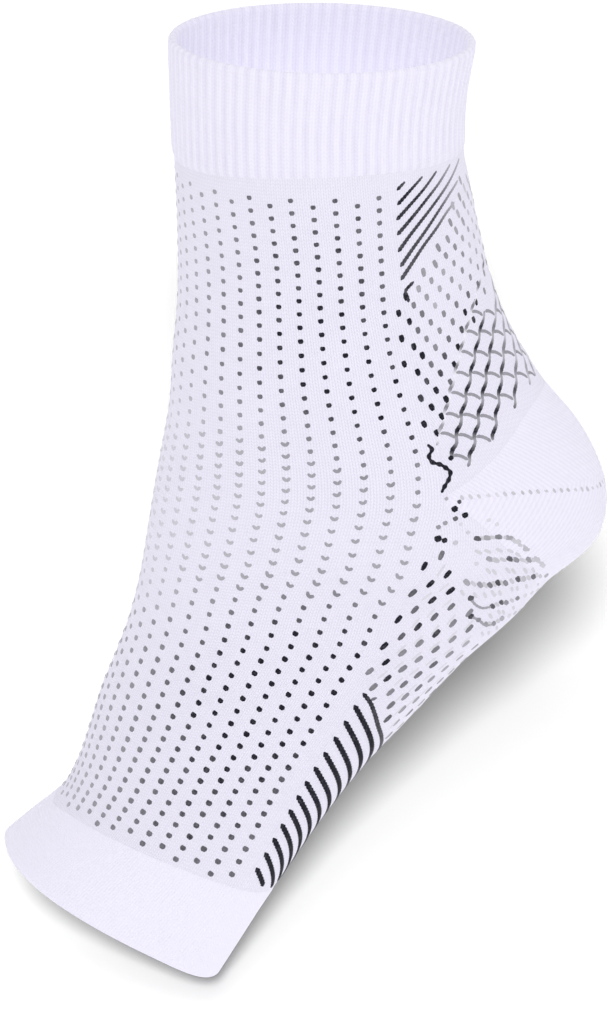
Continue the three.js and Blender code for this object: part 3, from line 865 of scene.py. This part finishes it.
def strandGraph():
    # a flattened yarn along each line, beaded like a row of stitches
    graph = newGraph("patternStrands", {
        "Bead length": ("Float", 0.0011), "Bead depth": ("Float", 0.3), "Flatness": ("Float", 0.42),
        "Finish": ("Material", None)})
    given = graph.inputs
    line = graph.node("GeometryNodeMeshToCurve", {}, {0: given["Geometry"]})
    run = graph.node("GeometryNodeSplineParameter").of("Length")
    bead = 1 - (run / given["Bead length"]).wave() * given["Bead depth"]
    radius = graph.attribute("thick") * 0.5 * bead
    stored = graph.node("GeometryNodeStoreNamedAttribute", {"data_type": "FLOAT_VECTOR"}, {
        "Geometry": line, "Name": "middle", "Value": graph.node("GeometryNodeInputPosition")})
    thick = graph.node("GeometryNodeSetCurveRadius", {}, {"Curve": stored, "Radius": radius})
    ring = graph.node("GeometryNodeCurvePrimitiveCircle", {}, {"Resolution": 8, "Radius": 1.0})
    yarn = graph.node("GeometryNodeCurveToMesh", {}, {
        "Curve": thick, "Profile Curve": ring, "Scale": graph.node("GeometryNodeInputRadius"),
        "Fill Caps": True})
    facing, middle = (graph.attribute(name, "FLOAT_VECTOR") for name in ("facing", "middle"))
    out = graph.vector("SUBTRACT", graph.node("GeometryNodeInputPosition"), middle)
    rise = graph.vector("DOT_PRODUCT", out, facing, output=1)
    press = graph.scaled(facing, rise * (given["Flatness"] - 1))
    flat = graph.node("GeometryNodeSetPosition", {}, {"Geometry": yarn, "Offset": press})
    return closeGraph(graph, graph.node("GeometryNodeSetShadeSmooth", {}, {0: flat}))


def makeStrands(name, lines, **shape):
    # lines: lists of (across, along share, thickness, tone) that the yarn follows
    points, edges, facings, thick, tones = [], [], [], [], []
    for line in lines:
        across, share, width, tone = np.array(line, float).T
        rough = skin(share * sockLength, placeAcross(across, share))
        runs = np.concatenate(([0], np.cumsum(np.linalg.norm(np.diff(rough, axis=0), axis=1))))
        count = max(4, int(runs[-1] / pattern["yarnStep"]))
        at = np.linspace(0, runs[-1], count + 1)
        across, share, width, tone = (held(runs, values, at) for values in (across, share, width, tone))
        girth = placeAcross(across, share)
        outward = bearings(share * sockLength, girth)[0]
        middle = skin(share * sockLength, girth) - outward * (width * pattern["yarnSink"])[:, None]
        taper = np.sqrt(np.clip(np.minimum(at, runs[-1] - at) / (width * 0.5), 0.06, 1))
        for side in (1, -1):
            first = len(points)
            points.extend(middle * [1, side, 1])
            facings.extend(outward * [1, side, 1])
            thick.extend(width * taper)
            tones.extend(tone)
            edges.extend((first + k, first + k + 1) for k in range(count))
    piece = newPiece(name, np.array(points), edges=edges)
    write(piece, "facing", np.array(facings))
    write(piece, "thick", thick)
    write(piece, "tone", tones)
    growPattern(piece, strands, shape)


strands = strandGraph()

# Stripes under the cuff, from the side edge up and back: places (across, along share) on each
ankleStripes = {
    "thickness": 0.0015, "tone": (1.0, 0.5), "lines": (
        ((0.07, 0.131), (0.14, 0.123)),
        ((0.06, 0.147), (0.17, 0.134), (0.28, 0.122)),
        ((0.04, 0.163), (0.15, 0.15), (0.28, 0.136), (0.41, 0.121)),
        ((0.03, 0.179), (0.16, 0.163), (0.28, 0.149), (0.42, 0.135), (0.57, 0.12)),
        ((0.02, 0.197), (0.12, 0.182), (0.25, 0.166), (0.37, 0.153), (0.52, 0.139), (0.72, 0.121)),
        ((0.02, 0.213), (0.13, 0.196), (0.25, 0.18), (0.38, 0.164), (0.5, 0.152), (0.64, 0.142)),
        ((0.01, 0.227), (0.09, 0.214), (0.21, 0.196), (0.34, 0.181), (0.45, 0.169), (0.55, 0.162))),
    "hook": ((0.1, 0.231), (0.07, 0.234), (0.03, 0.24), (0.04, 0.247), (0.04, 0.252)),
}


def ankleStripeLines():
    lines, look = [], ankleStripes
    for k, places in enumerate(look["lines"]):
        line, last = [], look["tone"][1] if k > 2 else 0.85
        for j, (across, share) in enumerate(places):
            run = j / (len(places) - 1)
            line.append((across, share, look["thickness"] * (1.1 - 0.4 * run),
                         look["tone"][0] + (last - look["tone"][0]) * float(ease(0.5, 1.1, run)) - 0.015 * k))
        lines.append(line)
    lines.append([(across, share, 0.0013, 0.95) for across, share in look["hook"]])
    return lines


# The net: slanting lines from its upper edge to the heel, with arcs between them
net = {
    "lines": range(-1, 6), "lineStep": 0.024, "lineSpread": 0.012, "thickness": 0.0014, "waver": 0.008,
    "route": (0.73, 0.274, 0.0974, 0.166),  # line 0: across, along share, slope and curve there
    "sides": (-0.02, 0.97), "rowStep": 0.0222, "rowRise": 0.048, "rowFirst": 0.281, "nodeAt": 0.4,
    "rows": range(-3, 9), "tone": 0.9, "arcThickness": 0.00108, "arcTone": 0.64, "arcRise": 0.012,
    "underDashes": 0.004, "amongDashes": -0.028, "overHeel": 0.011, "edgeFoot": 0.414,
}


def netAlong(across, line):
    middle, share, slope, curve = net["route"]
    away = middle - across
    return (share + slope * away + curve * away * abs(away)
            + line * (net["lineStep"] + net["lineSpread"] * away))


def netRow(across, share):
    # how many cells down a place is
    return (share - net["rowRise"] * across - net["rowFirst"]) / net["rowStep"]


def netPlaces(line):
    # one line of the net, from its upper edge to the heel
    places = np.linspace(*net["sides"], 200)
    share = netAlong(places, line)
    top = held(*ankleDashes["netTop"], places) + net["underDashes" if line >= 0 else "amongDashes"]
    foot = np.where(places > 0.05, held(*heelTop, places) - net["overHeel"], net["edgeFoot"])
    return places[(share > top) & (share < foot)]


def netCrossing(line, row, places):
    # where a line of the net crosses a row of cells, if it does
    return [a for a in places if abs(netRow(a, float(netAlong(a, line))) - row) < 0.12][:1]


def netLines():
    lines = []
    for k in net["lines"]:
        places = netPlaces(k)[::-1]
        line = []
        for across in places[::4]:
            share = float(netAlong(across, k))
            row = netRow(across, share)
            node = 0.5 + 0.5 * math.cos(2 * math.pi * (row + net["nodeAt"]))
            # the line among the dashes shows at its nodes only
            thick, tone = ((0.3 + 0.7 * node, 0.8 * node ** 2) if k < 0 else
                           (0.76 + 0.34 * node, net["tone"] * (0.62 + 0.5 * node)
                            * (0.55 + 0.45 * float(ease(0.85, 0.5, across)))))
            line.append((across + net["waver"] * math.sin(2 * math.pi * row), share,
                         net["thickness"] * thick, tone))
        lines.append(line)
        for row in net["rows"]:  # arcs from this line to the next one back
            for begin, end in zip(netCrossing(k, row, places), netCrossing(k + 1, row, netPlaces(k + 1))):
                first, last = float(netAlong(begin, k)), float(netAlong(end, k + 1))
                lines.append([(begin + (end - begin) * f,
                               first + (last - first) * f - net["arcRise"] * f * (1 - f),
                               net["arcThickness"], net["arcTone"]) for f in np.linspace(0.05, 0.95, 6)])
    return lines


# The hook line at the ankle, the bold stripes of the arch and the loops under the heel
zigzag = ((-0.03, 0.4), (-0.02, 0.406), (-0.035, 0.413), (-0.03, 0.419), (-0.01, 0.422), (0.01, 0.426),
          (0.03, 0.431), (0.02, 0.438), (0.0, 0.444), (-0.015, 0.452))
archStripes = {
    "count": 12, "places": (0, 3, 7, 11), "firstAlong": (0.702, 0.7575, 0.821, 0.88),
    "slopes": (0.195, 0.162, 0.148, 0.12), "bend": 0.22, "thickness": 0.00205, "sides": (0.012, 0.8),
    "lastAlong": 0.9035}
brokenStripe = ((0.02, 0.69), (0.09, 0.702), (0.16, 0.717), (0.23, 0.732), (0.34, 0.75), (0.5, 0.772))
brokenSpur = ((0.085, 0.7), (0.115, 0.697))
heelLoops = (((0.29, 0.574), (0.33, 0.583), (0.38, 0.59), (0.43, 0.59)),
             ((0.34, 0.599), (0.39, 0.606), (0.45, 0.616), (0.5, 0.617)))


def archStripeLines():
    lines, look = [], archStripes
    for k in range(look["count"]):
        begin, slope = (float(held(look["places"], look[name], k)) for name in ("firstAlong", "slopes"))
        line = []
        for across in np.linspace(*look["sides"], 12):
            share = begin + slope * across * (1 - look["bend"] * across)
            if share > look["lastAlong"]:
                break
            line.append((across, share, look["thickness"] * (1 - 0.25 * float(ease(0.25, 0.6, across))),
                         1 - 0.75 * float(ease(0.3, 0.75, across))))
        lines.append(line)
    lines.append([(across, share, 0.0017, 1 - 0.3 * across) for across, share in brokenStripe])
    lines.append([(across, share, 0.0011, 0.8) for across, share in brokenSpur])
    lines.extend([(across, share, 0.001, 0.6) for across, share in loop] for loop in heelLoops)
    return lines


makeStrands("ankle_stripes", ankleStripeLines())
makeStrands("ankle_net", netLines(), **{"Bead depth": 0.15})
makeStrands("ankle_zigzag", [[(across, share, 0.0016, 1.0) for across, share in zigzag]],
            **{"Bead depth": 0.4, "Bead length": 0.0021})
makeStrands("arch_stripes", archStripeLines())
print("pattern made")

# Floor, light and camera

stage = {"floorSize": 60.0, "gap": 0.018, "world": 0.8, "floorTone": 0.28}
floorPiece = newPiece("floor", [(-1, -1, 0), (1, -1, 0), (1, 1, 0), (-1, 1, 0)], [(0, 1, 2, 3)])
floorPiece.data.transform(Matrix.Translation((0, 0, cadBox[0].z - stage["gap"]))
                          @ Matrix.Scale(stage["floorSize"] / 2, 4))


def floorFinish(tone, vary):
    material, graph, body = newFinish("matt_white_floor")
    low, high = ((value, value, value, 1) for value in (tone - vary, tone + vary))
    colour = graph.mixColour(graph.noise(body, 4.0, 2.0), low, high)
    return closeFinish(material, graph, {"Base Color": colour, "Roughness": 0.95, "Specular IOR Level": 0.0})


floorPiece.data.materials.append(floorFinish(stage["floorTone"], 0.005))


def toward(azimuth, elevation):
    # azimuth 0 is in front of the near side, looking along +Y
    a, e = math.radians(azimuth), math.radians(elevation)
    return Vector((math.sin(a) * math.cos(e), -math.cos(a) * math.cos(e), math.sin(e)))


def newLamp(name, kind, place, onlyOn=None, **settings):
    # a light aimed at the middle of the sock, which may shine on one piece alone
    data = bpy.data.lights.new(name, kind)
    for setting, value in settings.items():
        setattr(data, setting, value)
    lamp = bpy.data.objects.new(name, data)
    bpy.context.scene.collection.objects.link(lamp)
    lamp.location = place
    lamp.rotation_euler = (-place).to_track_quat("-Z", "Y").to_euler()
    lamp.visible_camera = False
    if onlyOn:
        group = bpy.data.collections.new(name + "Receivers")
        group.objects.link(onlyOn)
        lamp.light_linking.receiver_collection = group


softLights = {  # azimuth, elevation, distance, size, power
    "frontSoftLight": (-18, 32, 2.2, 1.3, 2.2),
    "sideSoftLight": (45, 12, 2.2, 1.3, 2.2),
    "topSoftLight": (-5, 72, 2.0, 1.0, 6.5),
}
floorLights = {  # azimuth, elevation, angle, share of the floor's white
    "floorKey": (-5.4, 20.1, 4.2, 0.66),
    "floorWide": (-7.5, 26, 12, 0.22),
}
insideLight = {"place": (-0.003, 0, 0.078), "radius": 0.018, "power": 0.031, "tint": (0.96, 1.0, 0.93)}

for name, (azimuth, elevation, distance, size, power) in softLights.items():
    newLamp(name, "AREA", toward(azimuth, elevation) * distance, shape="DISK", size=size, energy=power)
for name, (azimuth, elevation, angle, share) in floorLights.items():
    # even light on the floor alone, which sets how wide and soft the sock's own shadow is
    newLamp(name, "SUN", toward(azimuth, elevation) * 3, floorPiece, angle=math.radians(angle),
            energy=share * math.pi / stage["floorTone"] / math.sin(math.radians(elevation)))
# soft light inside the cuff, as white walls would give
newLamp("insideCuff", "POINT", Vector(insideLight["place"]), bpy.data.objects["cuff_knit"],
        shadow_soft_size=insideLight["radius"], energy=insideLight["power"], color=insideLight["tint"])

world = bpy.data.worlds.new("softRoom")
bpy.context.scene.world = world
world.use_nodes = True
world.node_tree.nodes.clear()
room = Graph(world.node_tree)
seen = room.node("ShaderNodeLightPath").of("Is Camera Ray")
soft = room.node("ShaderNodeBackground", {}, {"Color": (1, 1, 1, 1), "Strength": stage["world"]})
white = room.node("ShaderNodeBackground", {}, {"Color": (1, 1, 1, 1), "Strength": 1.0})
both = room.node("ShaderNodeMixShader", {}, {0: seen, 1: soft, 2: white})
room.node("ShaderNodeOutputWorld", {}, {"Surface": both})
bpy.context.scene.view_settings.view_transform = "Standard"

# The camera stands where the photograph was taken from; right and up are the picture's own
camera = {"azimuth": -5, "elevation": 17, "lens": 500, "sensor": 36, "tall": 0.2867,
          "aimRight": -0.00742, "aimUp": -0.02296}


def placeCamera():
    back = toward(camera["azimuth"], camera["elevation"])
    right = Vector((math.cos(math.radians(camera["azimuth"])), math.sin(math.radians(camera["azimuth"])), 0))
    data = bpy.data.cameras.new("photographCamera")
    data.lens, data.sensor_width = camera["lens"], camera["sensor"]
    data.clip_start, data.clip_end = 0.1, 200
    distance = camera["tall"] * camera["lens"] / camera["sensor"]
    seenFrom = bpy.data.objects.new("photographCamera", data)
    seenFrom.location = right * camera["aimRight"] + back.cross(right) * camera["aimUp"] + back * distance
    seenFrom.rotation_euler = (-back).to_track_quat("-Z", "Y").to_euler()
    bpy.context.scene.collection.objects.link(seenFrom)
    bpy.context.scene.camera = seenFrom


placeCamera()
print("stage set")
